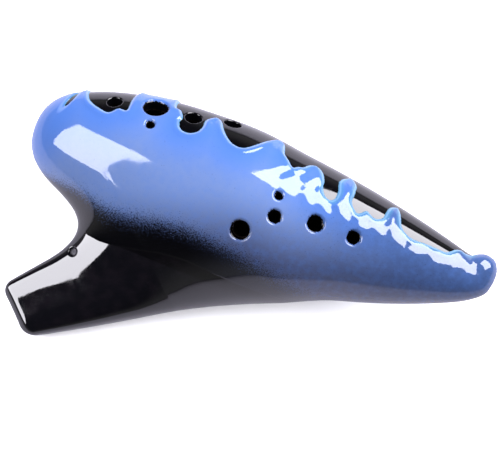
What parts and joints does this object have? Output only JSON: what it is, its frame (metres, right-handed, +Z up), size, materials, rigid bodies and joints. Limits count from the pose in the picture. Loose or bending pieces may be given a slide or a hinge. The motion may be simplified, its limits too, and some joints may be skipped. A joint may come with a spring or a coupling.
{
  "type": "ocarina",
  "caption": "Glazed ceramic transverse ocarina with an egg-shaped tapering chamber, a flat side mouthpiece, finger and thumb holes, a sounding window and a cord hole, resting on its back",
  "frame": {"origin": "on the table, at the centre of the instrument's footprint box, with the instrument lying on its back as it comes to rest", "axes": "+X along the chamber from the head to the tail, +Y away from the player, +Z up; the finger holes face up and the mouthpiece points towards -Y and -X"},
  "size_m": [0.1756, 0.0982, 0.0523],
  "materials": {
    "black_glaze": "glossy black glaze over brown clay, with fine airbrushed speckle where it fades into the blue",
    "blue_glaze": "thick glossy sky-blue glaze whose edge runs in raised rounded drips over the black",
    "bare_clay": "matt brown unglazed fired clay"
  },
  "bodies": {
    "root": {"front_shell": "black_glaze", "back_shell": "black_glaze", "mouthpiece": "black_glaze", "windway_cover": "black_glaze", "seam_slip": "bare_clay", "mouthpiece_slip": "bare_clay", "labium": "bare_clay", "blue_glaze_coat": "blue_glaze"}
  },
  "joints": []
}
